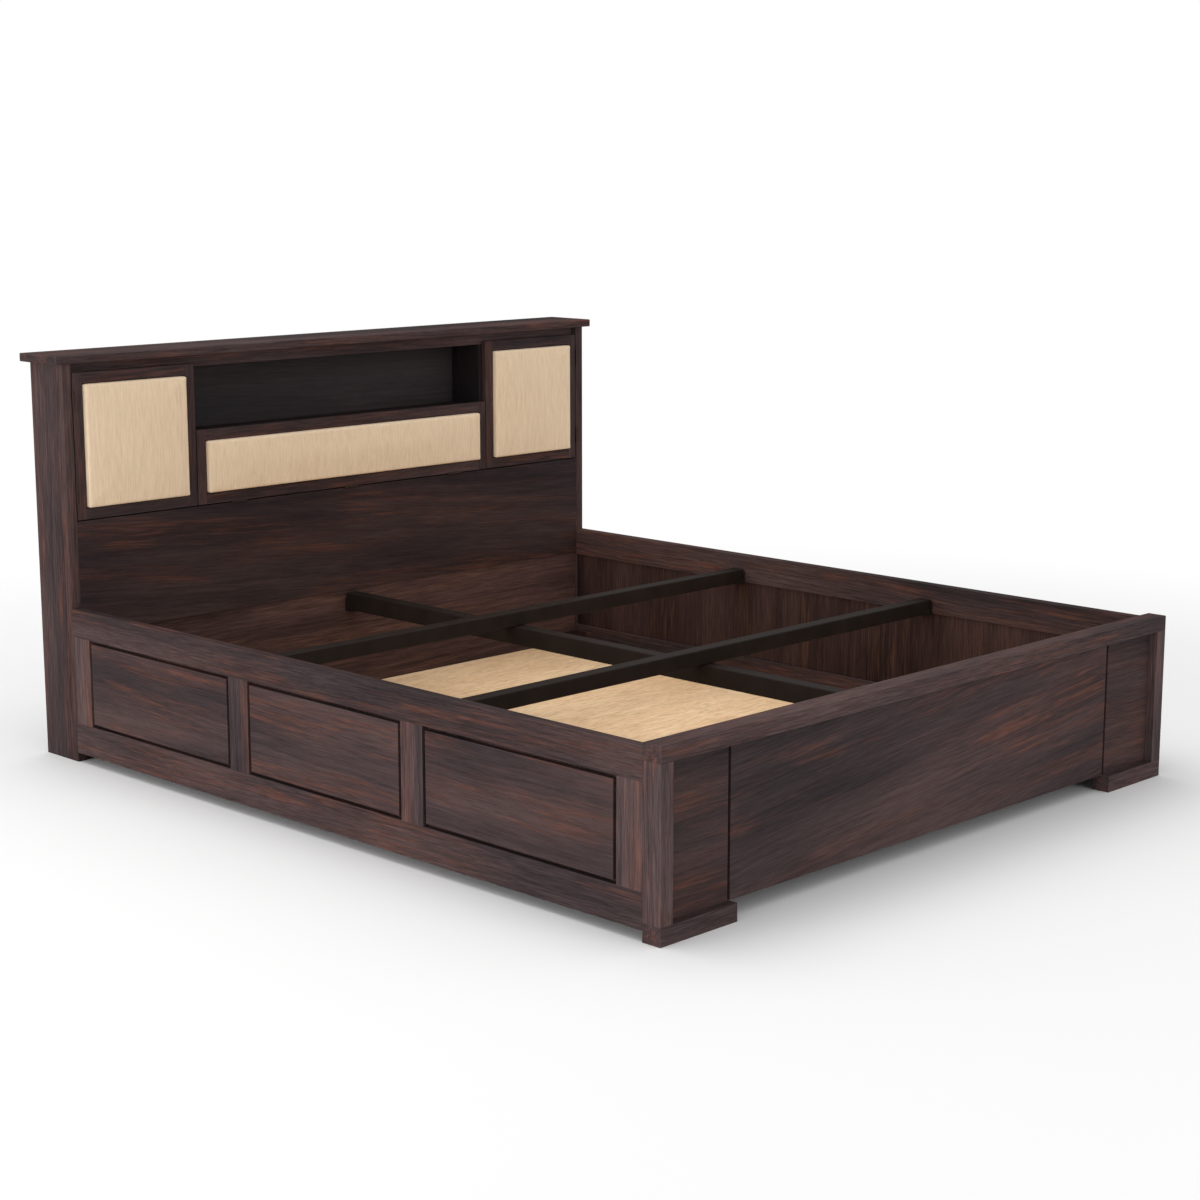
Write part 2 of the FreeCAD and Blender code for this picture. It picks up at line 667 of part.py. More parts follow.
board("storage_head_end", about("0", INSIDE), (HEAD_END, f"{HEAD_END} + head_end_thick"),
      ("rail_clear", LOWER_BASE))
sheets = []
cleats = []
feet = []
for side_name, side in SIDES.items():
    sheets.append(block(f"floor_sheet_{side_name}", x=mirrored(side, "0", INSIDE), y=(FOOT_BACK, HEAD_END),
                        z=(FLOOR_BASE, FLOOR_TOP)))
    cleats.append(block(f"floor_cleat_{side_name}", x=mirrored(side, CLEAT_IN, INSIDE), y=RAIL_RUN,
                        z=CLEAT_Z))
    feet.append(block(f"head_foot_{side_name}", x=mirrored(side, f"{INSIDE} - head_foot_length", INSIDE),
                      y=(HEAD_END, f"{HEAD_END} + head_foot_depth"), z=FOOT_Z))
battens = []
for number in (1, 2, 3):
    middle = f"({FOOT_BACK} + {number} * inner_length / 4)"
    battens.append(block(f"floor_batten_{number}", x=about("0", CLEAT_IN),
                         y=about(middle, "batten_width / 2"), z=CLEAT_Z))
    feet.append(block(f"batten_foot_{number}", x=about("0", "floor_foot_size / 2"),
                      y=about(middle, "floor_foot_size / 2"), z=FOOT_Z))
keep(group("floor_sheet_set", sheets), "storage_floor_sheets")
keep(group("floor_cleat_set", cleats), "floor_cleats")
keep(group("floor_batten_set", battens), "floor_battens")
keep(group("support_foot_set", feet), "support_feet")

# Headboard case: sides down to the ground, a lower panel between them, the
# cabinet floor, two partitions, the niche shelf, a frieze rail and the cap.

CASE_X = about("0", INSIDE)
CASE_Y = (CASE_FRONT, BACK_FACE)
LOWER_PANEL_BACK = f"({HEAD_FRONT} + lower_panel_thick)"
FRIEZE_Y = (CASE_FRONT, f"{CASE_FRONT} + frieze_thick")
FRIEZE_Z = (FRIEZE_BASE, CAP_BASE)

board("headboard_lower_panel", CASE_X, (HEAD_FRONT, LOWER_PANEL_BACK), (LOWER_BASE, LOWER_TOP))
board("headboard_back_panel", CASE_X, (BACK_FACE, HEAD_BACK), ("rail_clear", CAP_BASE))
board("cabinet_floor", CASE_X, (LOWER_PANEL_BACK, BACK_FACE),
      (f"{LOWER_TOP} - cabinet_floor_thick", LOWER_TOP))
board("headboard_frieze_rail", CASE_X, FRIEZE_Y, FRIEZE_Z)
board("niche_shelf", about("0", PARTITION_IN), CASE_Y, (SHELF_BASE, SHELF_TOP))
for side_name, side in SIDES.items():
    board(f"headboard_side_{side_name}", mirrored(side, INSIDE, HALF), (HEAD_FRONT, HEAD_BACK),
          ("0", CAP_BASE))
    partition = f"cabinet_partition_{side_name}"
    partition_x = mirrored(side, PARTITION_IN, PARTITION_OUT)
    holes[partition].append(block(f"{partition}_housing", x=partition_x, y=FRIEZE_Y, z=FRIEZE_Z))
    board(partition, partition_x, CASE_Y, (LOWER_TOP, CAP_BASE))

cap_blank = block("cap_blank", x=about("0", f"{HALF} + cap_side"),
                  y=(f"{HEAD_FRONT} - cap_front", f"{HEAD_BACK} + cap_back"),
                  z=(CAP_BASE, f"{CAP_BASE} + cap_thick"))
doc.recompute()
cap = keep(doc.addObject("Part::Fillet", "cap_eased"), "headboard_cap")
cap.Base = cap_blank
cap_edge = value("cap_edge")
cap.Edges = [(number, cap_edge, cap_edge) for number in range(1, len(cap_blank.Shape.Edges) + 1)]

# Doors and flap: a frame of two stiles and two rails round a backing sheet,
# with a padded insert on the backing that stands proud of the frame.

FRAME_Y = (HEAD_FRONT, DOOR_BACK)
BACKING_FACE = f"({DOOR_BACK} - backing_thick)"
PAD_RISE = "(door_thick - backing_thick + pad_proud)"
# Each step of the pad's rolled edge: how far below its top, and how far drawn
# in, as shares of the edge's size
PAD_ROLL = ((1, 0), (0.4, 0.12), (0.12, 0.45))


def padded_insert(label, backing, x, z):
    """A tight pad on its backing: straight sides, a rolled edge and a low crown."""
    (x_low, x_high), (z_low, z_high) = x, z
    body = placed_body(label, f"({x_low} + {x_high}) / 2", BACKING_FACE, f"({z_low} + {z_high}) / 2")
    edge = value("pad_edge")
    stations = [("0", "0", 0)]
    for below, drawn in PAD_ROLL:
        stations.append((f"{PAD_RISE} - {below} * pad_edge", f"{drawn} * pad_edge", drawn * edge))
    stations.append((PAD_RISE, "pad_crown", value("pad_crown")))
    sections = []
    for number, (depth, inset_text, inset) in enumerate(stations):
        sketch = attached_sketch(body, f"{label}_section_{number}", "XZ_Plane", depth)
        margin = 2 * (value("pad_clear") + inset)
        margin_text = f"2 * (pad_clear + {inset_text})"
        rounded_outline(
            sketch,
            (backing.Length.Value - margin, f"({x_high}) - ({x_low}) - {margin_text}"),
            (backing.Height.Value - margin, f"({z_high}) - ({z_low}) - {margin_text}"),
            (value("pad_corner"), "pad_corner"))
        sections.append(sketch)
    doc.recompute()
    loft = body.newObject("PartDesign::AdditiveLoft", f"{label}_form")
    loft.Profile = sections[0]
    loft.Sections = sections[1:]
    loft.Ruled = True


def padded_leaf(name, stiles, rails, x, z):
    """A door or flap from the names of its stiles, left first, and rails, low first."""
    (x_low, x_high), (z_low, z_high) = x, z
    inner_x = (f"{x_low} + frame_face", f"{x_high} - frame_face")
    inner_z = (f"{z_low} + frame_face", f"{z_high} - frame_face")
    stile_pair = [timber(stiles[0], (x_low, inner_x[0]), FRAME_Y, z),
                  timber(stiles[1], (inner_x[1], x_high), FRAME_Y, z)]
    rail_pair = [timber(rails[0], inner_x, FRAME_Y, (z_low, inner_z[0])),
                 timber(rails[1], inner_x, FRAME_Y, (inner_z[1], z_high))]
    keep(group(f"{name}_stile_pair", stile_pair), f"{name}_stiles")
    keep(group(f"{name}_rail_pair", rail_pair), f"{name}_rails")
    keep(group(f"{name}_leaf_set", hinge_leaves[name]), f"{name}_hinge_leaves")
    keep(group(f"{name}_strike_set", strikes[name]), f"{name}_strike")
    backing = board(f"{name}_backing", inner_x, (BACKING_FACE, DOOR_BACK), inner_z)
    doc.recompute()
    padded_insert(f"{name}_pad", backing, inner_x, inner_z)


for side_name, side in SIDES.items():
    door = f"{side_name}_door"
    door_stiles = ordered(f"{door}_stile_inner", f"{door}_stile_outer", side)
    padded_leaf(door, door_stiles, (f"{door}_rail_low", f"{door}_rail_high"),
                mirrored(side, DOOR_IN, DOOR_OUT), (DOOR_BASE, DOOR_TOP))
padded_leaf("center_flap", ("center_flap_stile_left", "center_flap_stile_right"),
            ("center_flap_rail_low", "center_flap_rail_high"),
            about("0", FLAP_HALF), (DOOR_BASE, FLAP_TOP))

# Test every object, then write each piece to its own file
doc.recompute()
for item in doc.Objects:
    if "Invalid" in item.State or "Error" in item.State:
        raise RuntimeError(f"{item.Label} failed: {item.State}")
os.makedirs("parts", exist_ok=True)
for piece in pieces:
    if piece.Shape.isNull() or not piece.Shape.isValid():
        raise RuntimeError(f"{piece.Label} has no valid shape")
    piece.Shape.exportStep(f"parts/{piece.Label}.step")
print(f"{len(pieces)} pieces")
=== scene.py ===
import math
import random

import bmesh
import bpy
import numpy as np
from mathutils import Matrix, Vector


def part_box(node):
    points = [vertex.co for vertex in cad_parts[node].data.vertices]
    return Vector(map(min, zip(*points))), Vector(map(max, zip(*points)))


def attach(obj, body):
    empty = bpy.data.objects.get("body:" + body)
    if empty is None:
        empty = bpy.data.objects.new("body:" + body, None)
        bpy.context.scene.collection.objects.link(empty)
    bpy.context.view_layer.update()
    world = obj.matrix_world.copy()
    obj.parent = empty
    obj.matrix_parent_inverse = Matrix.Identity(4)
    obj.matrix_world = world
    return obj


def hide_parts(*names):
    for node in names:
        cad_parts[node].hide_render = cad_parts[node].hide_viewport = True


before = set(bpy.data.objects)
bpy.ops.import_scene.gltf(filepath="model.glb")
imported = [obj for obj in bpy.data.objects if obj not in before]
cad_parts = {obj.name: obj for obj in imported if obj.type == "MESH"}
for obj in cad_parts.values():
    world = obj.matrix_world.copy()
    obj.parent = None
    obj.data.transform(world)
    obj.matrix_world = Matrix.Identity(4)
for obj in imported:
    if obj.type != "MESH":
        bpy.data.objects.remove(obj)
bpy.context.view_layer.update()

# Storage floor supports: rough-sawn softwood cleats along the rails, battens
# across and low feet under them, stained dark and screwed up from below.
# They carry the floor sheets and are seen only from underneath.

X, Y, Z = range(3)


class Shade:
    """One socket of a finish. Arithmetic on it adds Math nodes to the finish's tree."""

    def __init__(self, tree, socket=None):
        self.tree = tree
        self.socket = socket

    def fill(self, node, sockets):
        """Give sockets of a node, by name or number, their values or links."""
        for name, value in sockets.items():
            if isinstance(value, Shade):
                self.tree.links.new(value.socket, node.inputs[name])
            else:
                node.inputs[name].default_value = value

    def node(self, kind, sockets=None, out=0, stops=(), **settings):
        """Any other node: its settings first, then the values or links of its sockets."""
        made = self.tree.nodes.new(kind)
        for name, setting in settings.items():
            setattr(made, name, setting)
        if stops:
            elements = made.color_ramp.elements
            while len(elements) < len(stops):
                elements.new(0.5)
            for element, (position, color) in zip(elements, stops):
                element.position = position
                element.color = (*color, 1)
        self.fill(made, sockets or {})
        return Shade(self.tree, made.outputs[out])

    def math(self, operation, *values):
        return self.node("ShaderNodeMath", dict(enumerate(values)), operation=operation)

    def __add__(self, other):
        return self.math("ADD", self, other)

    def __sub__(self, other):
        return self.math("SUBTRACT", self, other)

    def __rsub__(self, other):
        return self.math("SUBTRACT", other, self)

    def __mul__(self, other):
        return self.math("MULTIPLY", self, other)

    def __pow__(self, other):
        return self.math("POWER", self, other)

    def __rpow__(self, other):
        return self.math("POWER", other, self)

    __radd__ = __add__
    __rmul__ = __mul__

    def between(self, low, high):
        """Where this value lies from low to high, from 0 to 1 with soft ends."""
        return self.node("ShaderNodeMapRange", {0: self, 1: low, 2: high},
                         interpolation_type="SMOOTHSTEP")

    def ramp(self, *stops):
        """The colour that this value picks from a row of stops."""
        return self.node("ShaderNodeValToRGB", {0: self}, stops=stops)

    def mixed(self, other, share, blend="MIX"):
        """This colour with a share of another colour."""
        return self.node("ShaderNodeMix", {0: share, 6: self, 7: other}, out=2, data_type="RGBA",
                         blend_type=blend)

    def dimmed(self, level):
        """This colour times a level."""
        grey = self.node("ShaderNodeCombineColor", {0: level, 1: level, 2: level})
        return self.mixed(grey, 1.0, blend="MULTIPLY")

    def bump(self, strength, distance):
        """The tilt of a surface that has this value as its height."""
        return self.node("ShaderNodeBump", {"Height": self, "Strength": strength, "Distance": distance})

    def axis(self, name):
        """One axis of this place."""
        return self.node("ShaderNodeSeparateXYZ", {0: self}, out=name)

    def stretched(self, x, y, z):
        """This place, scaled along each axis."""
        return self.node("ShaderNodeVectorMath", {0: self, 1: (x, y, z)}, operation="MULTIPLY")

    def noise(self, scale=1.0, detail=2.0, roughness=0.5, distortion=0.0):
        """Even noise from 0 to 1 at this place."""
        return self.node("ShaderNodeTexNoise", {"Vector": self, "Scale": scale, "Detail": detail,
                                                "Roughness": roughness, "Distortion": distortion})


def new_finish(name):
    """A new material, its surface shader and a start for its expressions."""
    material = bpy.data.materials.new(name)
    material.use_nodes = True
    return material, material.node_tree.nodes["Principled BSDF"], Shade(material.node_tree)


RINGS_PER_METRE = 130


def stained_wood(name, dark, middle, light, flame, gloss, figure):
    """Stained hardwood with wavy growth bands, reddish flecks, fibres, pores and a painted highlight on
    eased edges.

    It reads each board's own place along, across and into the grain. figure is how strongly
    the grain shows.
    """
    material, shader, start = new_finish(name)
    place = start.node("ShaderNodeAttribute", out="Vector", attribute_name="grain")
    tone = start.node("ShaderNodeAttribute", out="Fac", attribute_name="tone")
    edge = start.node("ShaderNodeAttribute", out="Fac", attribute_name="edge")

    sway = place.stretched(1.3, 5.0, 5.0).noise(detail=3) - 0.5
    ripple = place.stretched(8.0, 30.0, 30.0).noise(detail=3, roughness=0.6) - 0.5
    wavy = place.axis("Y") + sway * 0.085 + ripple * 0.014
    reach = (wavy ** 2 + place.axis("Z") ** 2) ** 0.5
    bands = start.node("ShaderNodeTexNoise", {"W": reach * RINGS_PER_METRE, "Scale": 1.0,
                                              "Detail": 4.0, "Roughness": 0.6}, noise_dimensions="1D")
    vein = bands.between(0.43, 0.33)
    cloud = place.stretched(0.9, 7.5, 7.5).noise(detail=4, roughness=0.55)
    patch = place.stretched(1.5, 12.0, 12.0).noise(detail=4, roughness=0.6, distortion=0.4)
    fleck = place.stretched(5.5, 90.0, 90.0).noise(detail=3, roughness=0.6)
    streak = place.stretched(3.6, 115.0, 115.0).noise(detail=4, roughness=0.64, distortion=0.3)
    fibre = place.stretched(12.0, 260.0, 260.0).noise(detail=3, roughness=0.75)
    pore = place.stretched(26.0, 1300.0, 1300.0).noise(detail=1).between(0.60, 0.72)
    pore = pore * fibre.between(0.62, 0.40)

    shade = 0.5 + (cloud - 0.5) * 0.85 + (bands - 0.5) * 0.16
    glow = patch.between(0.43, 0.62) * (0.16 + fleck.between(0.46, 0.64) * 0.84)
    color = shade.ramp((0.36, dark), (0.50, middle), (0.64, light)).mixed((*flame, 1), glow * 0.62)
    grain = (streak.between(0.30, 0.68) - 0.5) * 0.14 + (fibre.between(0.34, 0.70) - 0.5) * 0.40
    grain = grain - pore * 0.28 - vein * 0.07
    # edge adds a painted highlight along the eased edges.
    level = (0.94 + grain * figure + edge * 0.20) * (1 + tone * 0.25)
    height = streak * 0.5 + fibre * 0.5 - pore
    start.fill(shader, {"Base Color": color.dimmed(level),
                        "Roughness": gloss + (fibre - 0.5) * 0.18 + pore * 0.22 - edge * 0.05,
                        "Normal": height.bump(0.25, 0.0006),
                        "Specular IOR Level": 0.0,
                        "Coat Weight": 0.045 + fibre * 0.03 - pore * 0.04,
                        "Coat Roughness": 0.42})
    return material


SEAM_WIDTH = 1e-6
FLAT_WITHIN = math.radians(1)


def merged(node):
    """A CAD node's mesh with its seams closed and its flat faces whole."""
    mesh = bmesh.new()
    mesh.from_mesh(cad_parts[node].data)
    bmesh.ops.remove_doubles(mesh, verts=mesh.verts, dist=SEAM_WIDTH)
    bmesh.ops.dissolve_limit(mesh, angle_limit=FLAT_WITHIN, verts=mesh.verts, edges=mesh.edges)
    return mesh


def islands(mesh):
    """The corners of each separate solid in a mesh."""
    reached = set()
    for first in mesh.verts:
        if first in reached:
            continue
        reached.add(first)
        island = [first]
        for vert in island:
            for edge in vert.link_edges:
                other = edge.other_vert(vert)
                if other not in reached:
                    reached.add(other)
                    island.append(other)
        yield island


def solids_of(node):
    """The corners of each separate solid in a CAD node, as arrays of points in a steady order."""
    mesh = merged(node)
    found = [np.array([vert.co for vert in island]) for island in islands(mesh)]
    mesh.free()
    return sorted(found, key=lambda points: tuple(points.min(axis=0).round(4)))


def boxes_of(node):
    """The two far corners of each separate solid in a CAD node."""
    return [(Vector(points.min(axis=0)), Vector(points.max(axis=0))) for points in solids_of(node)]


def extruded(mesh, outline, axis, low, high):
    """A closed prism of that outline across one axis, from low to high, as its faces."""
    first, second = (number for number in (X, Y, Z) if number != axis)
    rings = []
    for level in (low, high):
        ring = []
        for pair in outline:
            point = [0.0, 0.0, 0.0]
            point[axis] = level
            point[first], point[second] = pair
            ring.append(mesh.verts.new(point))
        rings.append(ring)
    faces = [mesh.faces.new(ring) for ring in rings]
    lower, upper = rings
    for number in range(len(outline)):
        after = (number + 1) % len(outline)
        faces.append(mesh.faces.new((lower[number], lower[after], upper[after], upper[number])))
    bmesh.ops.recalc_face_normals(mesh, faces=faces)
    return faces


def oblong(low, high, axis):
    """The outline of a box between two corners, seen along one axis."""
    first, second = (number for number in (X, Y, Z) if number != axis)
    return ((low[first], low[second]), (high[first], low[second]),
            (high[first], high[second]), (low[first], high[second]))


def put_up(name, mesh):
    """A mesh under construction, set up as an object of the scene."""
    data = bpy.data.meshes.new(name)
    mesh.to_mesh(data)
    mesh.free()
    piece = bpy.data.objects.new(name, data)
    bpy.context.scene.collection.objects.link(piece)
    return piece


LARGE_FACES_FIRST = 100


def finished_piece(piece, finish, body, slot, *nodes):
    """Give a rigid piece its finish and even shading, and let it ride in place of CAD nodes."""
    piece.data.materials.clear()
    piece.data.materials.append(finish)
    piece.data.shade_smooth()
    even = piece.modifiers.new("even_faces", "WEIGHTED_NORMAL")
    even.weight = LARGE_FACES_FIRST
    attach(piece, body)
    if nodes:
        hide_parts(*nodes)
    return piece


LOG_LENGTH = 40
OFF_HEART = 0.16
HEART_DEPTHS = (0.04, 0.22)
TONE_SPREAD = 0.3
SLANT_SPREAD = 0.02


class Timber:
    """Boards of one node, cut as prisms with eased edges and laid along their grain."""

    def __init__(self, name, seed, tone=0.0, slant=0.0):
        self.name = name
        self.draw = random.Random(seed)
        self.stain_and_painted_light = tone
        self.slant = slant
        self.mesh = bmesh.new()
        self.grain = self.mesh.verts.layers.float_vector.new("grain")
        self.tone = self.mesh.verts.layers.float.new("tone")
        self.edge = self.mesh.verts.layers.float.new("edge")

    def prism(self, outline, axis, low, high, grain, ease):
        """A board of that outline across one axis. grain is the axis that its fibres run along."""
        faces = extruded(self.mesh, outline, axis, low, high)
        edges = list(dict.fromkeys(edge for face in faces for edge in face.edges))
        eased = bmesh.ops.bevel(self.mesh, geom=edges, offset=ease, segments=3, profile=0.5,
                                affect="EDGES")
        rounds = set(eased["faces"])
        board = list(dict.fromkeys(vert for face in eased["faces"] for vert in face.verts))
        points = np.array([vert.co for vert in board])
        spans = np.ptp(points, axis=0)
        wide, deep = sorted((number for number in (X, Y, Z) if number != grain),
                            key=lambda number: -spans[number])
        shift = Vector((self.draw.uniform(0, LOG_LENGTH), self.draw.uniform(-OFF_HEART, OFF_HEART),
                        self.draw.uniform(*HEART_DEPTHS)))
        # The piece's tone is its stain; on a few pieces it is painted light, on others painted shade.
        tone = self.stain_and_painted_light + self.draw.uniform(-TONE_SPREAD, TONE_SPREAD)
        slant = self.slant + self.draw.uniform(-SLANT_SPREAD, SLANT_SPREAD)
        for vert, point in zip(board, points - points.mean(axis=0)):
            along, across, into = point[[grain, wide, deep]]
            vert[self.grain] = shift + Vector((along, across - slant * along, into))
            vert[self.tone] = tone
            # The edge layer marks the eased edges, where the wood finish paints a highlight.
            vert[self.edge] = float(all(face in rounds for face in vert.link_faces))
        return self

    def box(self, low, high, grain, ease):
        """A square-edged board between two corners."""
        return self.prism(oblong(low, high, Z), Z, low[Z], high[Z], grain, ease)

    def stand_for(self, body, slot, finish, node):
        """Finish the boards as one piece that rides on a body in place of a CAD node."""
        return finished_piece(put_up(self.name, self.mesh), finish, body, slot, node)


def sawn_boards(node, grain, ease, slot, finish, seed, body="frame", tone=0.0, slant=0.0):
    """Plain boards in place of a node's solids, with the grain along one axis.

    tone darkens or lightens the stain, on a few pieces as painted light and painted shade, and slant
    tilts the grain.
    """
    boards = Timber(f"{node}_boards", seed, tone, slant)
    for low, high in boxes_of(node):
        boards.box(low, high, grain, ease)
    return boards.stand_for(body, slot, finish, node)


SUPPORT_EASE = 0.0015
FEET_EASE = 0.0025
inner_wood = stained_wood("dark_inner_wood", dark=(0.018, 0.0113, 0.0112),
                          middle=(0.035, 0.0208, 0.0200), light=(0.056, 0.0325, 0.0300),
                          flame=(0.075, 0.0385, 0.0280), gloss=0.55, figure=1.05)
sawn_boards("floor_cleats", Y, SUPPORT_EASE, "inner_wood", inner_wood, seed=11)
sawn_boards("floor_battens", X, SUPPORT_EASE, "inner_wood", inner_wood, seed=12)
sawn_boards("support_feet", X, FEET_EASE, "inner_wood", inner_wood, seed=13)

# Storage floor sheets: two sheets of birch plywood that meet under the
# centre beam. The upper veneer is sanded and left bare, so it stays pale, and
# the underside gets the same dark stain as the supports as painted shade, to
# keep the floor beneath the bed dark and neutral.


def bare_plywood(name, pale, warm, fleck):
    """Sanded veneer: cloudy figure, short fibres and a few darker flecks."""
    material, shader, start = new_finish(name)
    place = start.node("ShaderNodeAttribute", out="Vector", attribute_name="grain")
    cloud = place.stretched(2.2, 6.0, 6.0).noise(detail=5, roughness=0.62, distortion=1.1)
    figure = place.stretched(19.0, 85.0, 85.0).noise(detail=5, roughness=0.72, distortion=0.7)
    fibre = place.stretched(14.0, 300.0, 300.0).noise(detail=2)
    spot = place.stretched(34.0, 110.0, 110.0).noise(detail=2).between(0.58, 0.70)
    color = cloud.ramp((0.36, warm), (0.62, pale))
    color = color.mixed((*fleck, 1), figure.between(0.34, 0.80) * 0.80 + spot * 0.22)
    height = fibre + figure * 0.4
    start.fill(shader, {"Base Color": color.dimmed(0.90 + fibre * 0.24),
                        "Roughness": 0.62 + fibre * 0.16,
                        "Normal": height.bump(0.18, 0.0004)})
    return material


def second_finish(piece, finish, chosen):
    """Give another finish to the faces of a piece that are chosen by their normals."""
    piece.data.materials.append(finish)
    for face in piece.data.polygons:
        face.material_index = int(chosen(face.normal))


SHEET_EASE = 0.0006
SQUARE_ON = 0.9
birch_ply = bare_plywood("birch_plywood", pale=(0.990, 0.715, 0.445), warm=(0.900, 0.605, 0.345),
                         fleck=(0.560, 0.330, 0.165))
sheets = sawn_boards("storage_floor_sheets", X, SHEET_EASE, "birch_ply", birch_ply, seed=21)
# The sheets' undersides get the dark inner stain as painted shade beneath the bed.
second_finish(sheets, inner_wood, lambda normal: normal.z < -SQUARE_ON)

# Side rails: solid sheesham top and bottom rails with four stiles between,
# glued and dowelled. The top rail is rebated below for the stiles. Three
# loose panels sit on a thin lining, clear of the frame by a dark groove.

RAIL_EASE = 0.0014
STILE_EASE = 0.0007
PANEL_EASE = 0.0016
LINING_EASE = 0.0005
WALNUT_STAIN = {"dark": (0.031, 0.0240, 0.0256), "middle": (0.051, 0.0352, 0.0355),
                "light": (0.076, 0.0505, 0.0485), "flame": (0.128, 0.0530, 0.0385), "gloss": 0.50}
frame_wood = stained_wood("dark_frame_wood", **WALNUT_STAIN, figure=1.15)
panel_wood = stained_wood("dark_panel_wood", **WALNUT_STAIN, figure=0.74)
for seed, side in ((30, "left"), (40, "right")):
    low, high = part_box(f"{side}_rail_top")
    rebate_low, rebate_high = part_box(f"{side}_rail_stiles")
    inner, outer = (high[X], low[X]) if side == "left" else (low[X], high[X])
    rebate = rebate_high[X] if side == "left" else rebate_low[X]
    section = ((outer, rebate_high[Z]), (rebate, rebate_high[Z]), (rebate, low[Z]),
               (inner, low[Z]), (inner, high[Z]), (outer, high[Z]))
    top = Timber(f"{side}_rail_top_board", seed)
    top.prism(section, Y, low[Y], high[Y], Y, RAIL_EASE)
    top.stand_for("frame", "dark_wood", frame_wood, f"{side}_rail_top")
    sawn_boards(f"{side}_rail_bottom", Y, RAIL_EASE, "dark_wood", frame_wood, seed + 1, tone=0.3)
    sawn_boards(f"{side}_rail_stiles", Z, STILE_EASE, "dark_wood", frame_wood, seed + 2, tone=1.5)
    sawn_boards(f"{side}_rail_panels", Y, PANEL_EASE, "dark_wood", panel_wood, seed + 3, tone=0.25)
    sawn_boards(f"{side}_rail_lining", Z, LINING_EASE, "inner_wood", inner_wood, seed + 4, tone=0.5)

# Footboard: a top rail over two posts on foot blocks, screwed to a backing
# board. The centre panel and two side panels are set back between the posts,
# with a groove beside each end of the centre panel.

FOOT_EASE = 0.0013
FOOT_BACK_EASE = 0.0008
sawn_boards("footboard_top_rail", X, FOOT_EASE, "dark_wood", frame_wood, seed=51, tone=0.9)
sawn_boards("footboard_posts", Z, FOOT_EASE, "dark_wood", frame_wood, seed=52, tone=2.2)
sawn_boards("footboard_foot_left", X, FOOT_EASE, "dark_wood", frame_wood, seed=53, tone=0.9)
# The right foot block is stained lighter than the left as painted light on that side.
sawn_boards("footboard_foot_right", X, FOOT_EASE, "dark_wood", frame_wood, seed=54, tone=2.0)
sawn_boards("footboard_center_panel", X, FOOT_EASE, "dark_wood", panel_wood, seed=55, tone=0.7,
            slant=0.08)
sawn_boards("footboard_side_panels", X, FOOT_EASE, "dark_wood", panel_wood, seed=56, tone=-0.2)
sawn_boards("footboard_back_board", X, FOOT_BACK_EASE, "inner_wood", inner_wood, seed=57)

# Headboard case: two sides down to the ground, a deep lower panel between
# them, and above it the cabinet floor, partitions, niche shelf and frieze
# rail, housed and screwed together under a cap. Its back panel is a nearly
# black sheet, and the partitions are darkened, with the black sheet on their
# side faces, as painted shade inside the case.

CASE_EASE = 0.0012
CASE_BACK_EASE = 0.0005
CAP_EASE = 0.0025
sawn_boards("storage_head_end", X, CASE_EASE, "inner_wood", inner_wood, seed=60, tone=3.4)
sawn_boards("headboard_side_left", Z, CASE_EASE, "dark_wood", frame_wood, seed=61, tone=0.7)
sawn_boards("headboard_side_right", Z, CASE_EASE, "dark_wood", frame_wood, seed=62)
sawn_boards("headboard_lower_panel", X, CASE_EASE, "dark_wood", panel_wood, seed=63, tone=-1.0,
            slant=-0.05)
# This near-black sheet lines the back panel, and on the partitions' side faces it is painted shade.
black_sheet_and_niche_shade = stained_wood("black_sheet_and_painted_niche_shade", dark=(0.0310, 0.0262, 0.0280),
                           middle=(0.0385, 0.0325, 0.0345), light=(0.0470, 0.0390, 0.0405),
                           flame=(0.0540, 0.0405, 0.0390), gloss=0.60, figure=0.35)
sawn_boards("headboard_back_panel", X, CASE_BACK_EASE, "inner_wood", black_sheet_and_niche_shade, seed=64)
sawn_boards("cabinet_floor", X, CASE_EASE, "dark_wood", frame_wood, seed=65)
sawn_boards("headboard_frieze_rail", X, CASE_EASE, "dark_wood", frame_wood, seed=66)
sawn_boards("niche_shelf", X, CASE_EASE, "dark_wood", frame_wood, seed=67)
frieze_low, frieze_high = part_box("headboard_frieze_rail")
for seed, side in ((68, "left"), (69, "right")):
    low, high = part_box(f"cabinet_partition_{side}")
    section = ((low[Y], low[Z]), (high[Y], low[Z]), (high[Y], high[Z]), (frieze_high[Y], high[Z]),
               (frieze_high[Y], frieze_low[Z]), (low[Y], frieze_low[Z]))
    # The partitions are stained much darker and get the black sheet on their side faces: painted shade
    # inside the case.
    partition = Timber(f"cabinet_partition_{side}_boards", seed, tone=-2.5)
    partition.prism(section, X, low[X], high[X], Z, CASE_EASE)
    wall = partition.stand_for("frame", "dark_wood", frame_wood, f"cabinet_partition_{side}")
    second_finish(wall, black_sheet_and_niche_shade, lambda normal: abs(normal.x) > SQUARE_ON)
# The cap is stained a little lighter as painted light on its top.
sawn_boards("headboard_cap", X, CAP_EASE, "dark_wood", frame_wood, seed=70, tone=0.6)

# Steel beams: two square tubes across the bed and a deeper one along its
# middle, in black powder coat with a faint orange peel. They lie in welded
# saddles that are screwed to the rails and to the boards at both ends.


